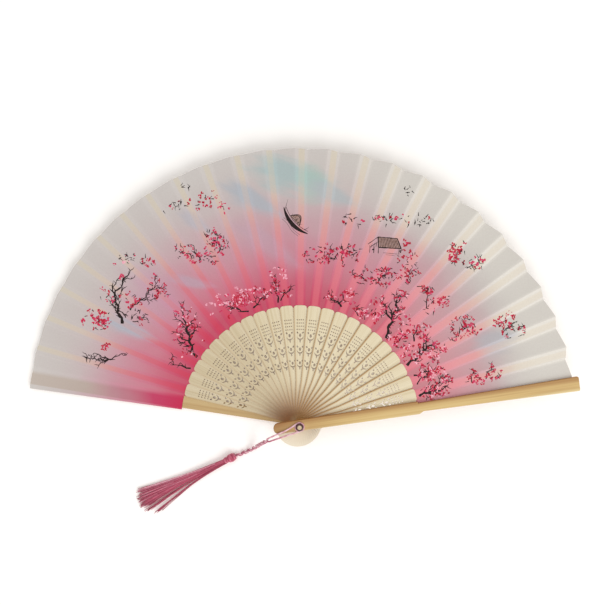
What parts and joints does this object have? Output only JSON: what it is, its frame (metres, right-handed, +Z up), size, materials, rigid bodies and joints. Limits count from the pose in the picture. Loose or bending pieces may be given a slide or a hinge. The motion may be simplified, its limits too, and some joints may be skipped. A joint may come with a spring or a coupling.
{
  "type": "folding fan",
  "caption": "Open folding fan with pierced ribs, two guards on one pin, a pleated printed cloth leaf and a tassel.",
  "frame": {"origin": "the pin's axis at the face that the open fan lies on, under the back guard", "axes": "+Z up along the pin, away from the table; +X along the open fan's width, towards the front guard; +Y towards the middle of the leaf"},
  "size_m": [0.3783, 0.2533, 0.0229],
  "materials": {
    "guard_wood": "planed bamboo, light golden tan, clear satin coat",
    "rib_wood": "thin pale bamboo, punched, satin",
    "leaf_cloth": "thin printed cloth, pink fading to pale grey, blossom print in ink",
    "pin_metal": "plain drawn pin",
    "cap_bone": "beige cap, satin",
    "tassel_thread": "twisted rayon thread, dusty rose"
  },
  "bodies": {
    "back_guard_body": {"back_guard": "guard_wood", "leaf_01": "leaf_cloth", "pivot_pin": "pin_metal", "pin_cap": "cap_bone", "tassel_ring": "tassel_thread", "tassel_strand_upper": "tassel_thread", "tassel_strand_lower": "tassel_thread", "tassel_knot": "tassel_thread", "tassel_skirt": "tassel_thread"},
    "rib_01_body": {"rib_01": "rib_wood", "leaf_02": "leaf_cloth"},
    "rib_02_body": {"rib_02": "rib_wood", "leaf_03": "leaf_cloth"},
    "rib_03_body": {"rib_03": "rib_wood", "leaf_04": "leaf_cloth"},
    "rib_04_body": {"rib_04": "rib_wood", "leaf_05": "leaf_cloth"},
    "rib_05_body": {"rib_05": "rib_wood", "leaf_06": "leaf_cloth"},
    "rib_06_body": {"rib_06": "rib_wood", "leaf_07": "leaf_cloth"},
    "rib_07_body": {"rib_07": "rib_wood", "leaf_08": "leaf_cloth"},
    "rib_08_body": {"rib_08": "rib_wood", "leaf_09": "leaf_cloth"},
    "rib_09_body": {"rib_09": "rib_wood", "leaf_10": "leaf_cloth"},
    "rib_10_body": {"rib_10": "rib_wood", "leaf_11": "leaf_cloth"},
    "rib_11_body": {"rib_11": "rib_wood", "leaf_12": "leaf_cloth"},
    "rib_12_body": {"rib_12": "rib_wood", "leaf_13": "leaf_cloth"},
    "rib_13_body": {"rib_13": "rib_wood", "leaf_14": "leaf_cloth"},
    "rib_14_body": {"rib_14": "rib_wood", "leaf_15": "leaf_cloth"},
    "rib_15_body": {"rib_15": "rib_wood", "leaf_16": "leaf_cloth"},
    "rib_16_body": {"rib_16": "rib_wood", "leaf_17": "leaf_cloth"},
    "rib_17_body": {"rib_17": "rib_wood", "leaf_18": "leaf_cloth"},
    "rib_18_body": {"rib_18": "rib_wood", "leaf_19": "leaf_cloth"},
    "rib_19_body": {"rib_19": "rib_wood", "leaf_20": "leaf_cloth"},
    "rib_20_body": {"rib_20": "rib_wood", "leaf_21": "leaf_cloth"},
    "rib_21_body": {"rib_21": "rib_wood", "leaf_22": "leaf_cloth"},
    "rib_22_body": {"rib_22": "rib_wood", "leaf_23": "leaf_cloth"},
    "rib_23_body": {"rib_23": "rib_wood", "leaf_24": "leaf_cloth"},
    "front_guard_body": {"front_guard": "guard_wood"}
  },
  "joints": [
    {"name": "fold", "type": "hinge", "parent": "back_guard_body", "child": "rib_01_body", "pos_m": [0, 0, 0.002], "axis": [0, 0, 1], "range_deg": [0, 6.75], "deforming": ["leaf_01"]},
    {"name": "fold_02", "type": "hinge", "parent": "rib_01_body", "child": "rib_02_body", "pos_m": [0, 0, 0.002], "axis": [0, 0, 1], "range_deg": [0, 6.75], "deforming": ["leaf_02"]},
    {"name": "fold_03", "type": "hinge", "parent": "rib_02_body", "child": "rib_03_body", "pos_m": [0, 0, 0.002], "axis": [0, 0, 1], "range_deg": [0, 6.75], "deforming": ["leaf_03"]},
    {"name": "fold_04", "type": "hinge", "parent": "rib_03_body", "child": "rib_04_body", "pos_m": [0, 0, 0.002], "axis": [0, 0, 1], "range_deg": [0, 6.75], "deforming": ["leaf_04"]},
    {"name": "fold_05", "type": "hinge", "parent": "rib_04_body", "child": "rib_05_body", "pos_m": [0, 0, 0.002], "axis": [0, 0, 1], "range_deg": [0, 6.75], "deforming": ["leaf_05"]},
    {"name": "fold_06", "type": "hinge", "parent": "rib_05_body", "child": "rib_06_body", "pos_m": [0, 0, 0.002], "axis": [0, 0, 1], "range_deg": [0, 6.75], "deforming": ["leaf_06"]},
    {"name": "fold_07", "type": "hinge", "parent": "rib_06_body", "child": "rib_07_body", "pos_m": [0, 0, 0.002], "axis": [0, 0, 1], "range_deg": [0, 6.75], "deforming": ["leaf_07"]},
    {"name": "fold_08", "type": "hinge", "parent": "rib_07_body", "child": "rib_08_body", "pos_m": [0, 0, 0.002], "axis": [0, 0, 1], "range_deg": [0, 6.75], "deforming": ["leaf_08"]},
    {"name": "fold_09", "type": "hinge", "parent": "rib_08_body", "child": "rib_09_body", "pos_m": [0, 0, 0.002], "axis": [0, 0, 1], "range_deg": [0, 6.75], "deforming": ["leaf_09"]},
    {"name": "fold_10", "type": "hinge", "parent": "rib_09_body", "child": "rib_10_body", "pos_m": [0, 0, 0.002], "axis": [0, 0, 1], "range_deg": [0, 6.75], "deforming": ["leaf_10"]},
    {"name": "fold_11", "type": "hinge", "parent": "rib_10_body", "child": "rib_11_body", "pos_m": [0, 0, 0.002], "axis": [0, 0, 1], "range_deg": [0, 6.75], "deforming": ["leaf_11"]},
    {"name": "fold_12", "type": "hinge", "parent": "rib_11_body", "child": "rib_12_body", "pos_m": [0, 0, 0.002], "axis": [0, 0, 1], "range_deg": [0, 6.75], "deforming": ["leaf_12"]},
    {"name": "fold_13", "type": "hinge", "parent": "rib_12_body", "child": "rib_13_body", "pos_m": [0, 0, 0.002], "axis": [0, 0, 1], "range_deg": [0, 6.75], "deforming": ["leaf_13"]},
    {"name": "fold_14", "type": "hinge", "parent": "rib_13_body", "child": "rib_14_body", "pos_m": [0, 0, 0.002], "axis": [0, 0, 1], "range_deg": [0, 6.75], "deforming": ["leaf_14"]},
    {"name": "fold_15", "type": "hinge", "parent": "rib_14_body", "child": "rib_15_body", "pos_m": [0, 0, 0.002], "axis": [0, 0, 1], "range_deg": [0, 6.75], "deforming": ["leaf_15"]},
    {"name": "fold_16", "type": "hinge", "parent": "rib_15_body", "child": "rib_16_body", "pos_m": [0, 0, 0.002], "axis": [0, 0, 1], "range_deg": [0, 6.75], "deforming": ["leaf_16"]},
    {"name": "fold_17", "type": "hinge", "parent": "rib_16_body", "child": "rib_17_body", "pos_m": [0, 0, 0.002], "axis": [0, 0, 1], "range_deg": [0, 6.75], "deforming": ["leaf_17"]},
    {"name": "fold_18", "type": "hinge", "parent": "rib_17_body", "child": "rib_18_body", "pos_m": [0, 0, 0.002], "axis": [0, 0, 1], "range_deg": [0, 6.75], "deforming": ["leaf_18"]},
    {"name": "fold_19", "type": "hinge", "parent": "rib_18_body", "child": "rib_19_body", "pos_m": [0, 0, 0.002], "axis": [0, 0, 1], "range_deg": [0, 6.75], "deforming": ["leaf_19"]},
    {"name": "fold_20", "type": "hinge", "parent": "rib_19_body", "child": "rib_20_body", "pos_m": [0, 0, 0.002], "axis": [0, 0, 1], "range_deg": [0, 6.75], "deforming": ["leaf_20"]},
    {"name": "fold_21", "type": "hinge", "parent": "rib_20_body", "child": "rib_21_body", "pos_m": [0, 0, 0.002], "axis": [0, 0, 1], "range_deg": [0, 6.75], "deforming": ["leaf_21"]},
    {"name": "fold_22", "type": "hinge", "parent": "rib_21_body", "child": "rib_22_body", "pos_m": [0, 0, 0.002], "axis": [0, 0, 1], "range_deg": [0, 6.75], "deforming": ["leaf_22"]},
    {"name": "fold_23", "type": "hinge", "parent": "rib_22_body", "child": "rib_23_body", "pos_m": [0, 0, 0.002], "axis": [0, 0, 1], "range_deg": [0, 6.75], "deforming": ["leaf_23"]},
    {"name": "fold_24", "type": "hinge", "parent": "rib_23_body", "child": "front_guard_body", "pos_m": [0, 0, 0.002], "axis": [0, 0, 1], "range_deg": [0, 6.75], "deforming": ["leaf_24"]}
  ],
  "couplings": [
    {"joint": "fold_02", "follows": "fold", "ratio": 1},
    {"joint": "fold_03", "follows": "fold", "ratio": 1},
    {"joint": "fold_04", "follows": "fold", "ratio": 1},
    {"joint": "fold_05", "follows": "fold", "ratio": 1},
    {"joint": "fold_06", "follows": "fold", "ratio": 1},
    {"joint": "fold_07", "follows": "fold", "ratio": 1},
    {"joint": "fold_08", "follows": "fold", "ratio": 1},
    {"joint": "fold_09", "follows": "fold", "ratio": 1},
    {"joint": "fold_10", "follows": "fold", "ratio": 1},
    {"joint": "fold_11", "follows": "fold", "ratio": 1},
    {"joint": "fold_12", "follows": "fold", "ratio": 1},
    {"joint": "fold_13", "follows": "fold", "ratio": 1},
    {"joint": "fold_14", "follows": "fold", "ratio": 1},
    {"joint": "fold_15", "follows": "fold", "ratio": 1},
    {"joint": "fold_16", "follows": "fold", "ratio": 1},
    {"joint": "fold_17", "follows": "fold", "ratio": 1},
    {"joint": "fold_18", "follows": "fold", "ratio": 1},
    {"joint": "fold_19", "follows": "fold", "ratio": 1},
    {"joint": "fold_20", "follows": "fold", "ratio": 1},
    {"joint": "fold_21", "follows": "fold", "ratio": 1},
    {"joint": "fold_22", "follows": "fold", "ratio": 1},
    {"joint": "fold_23", "follows": "fold", "ratio": 1},
    {"joint": "fold_24", "follows": "fold", "ratio": 1}
  ]
}
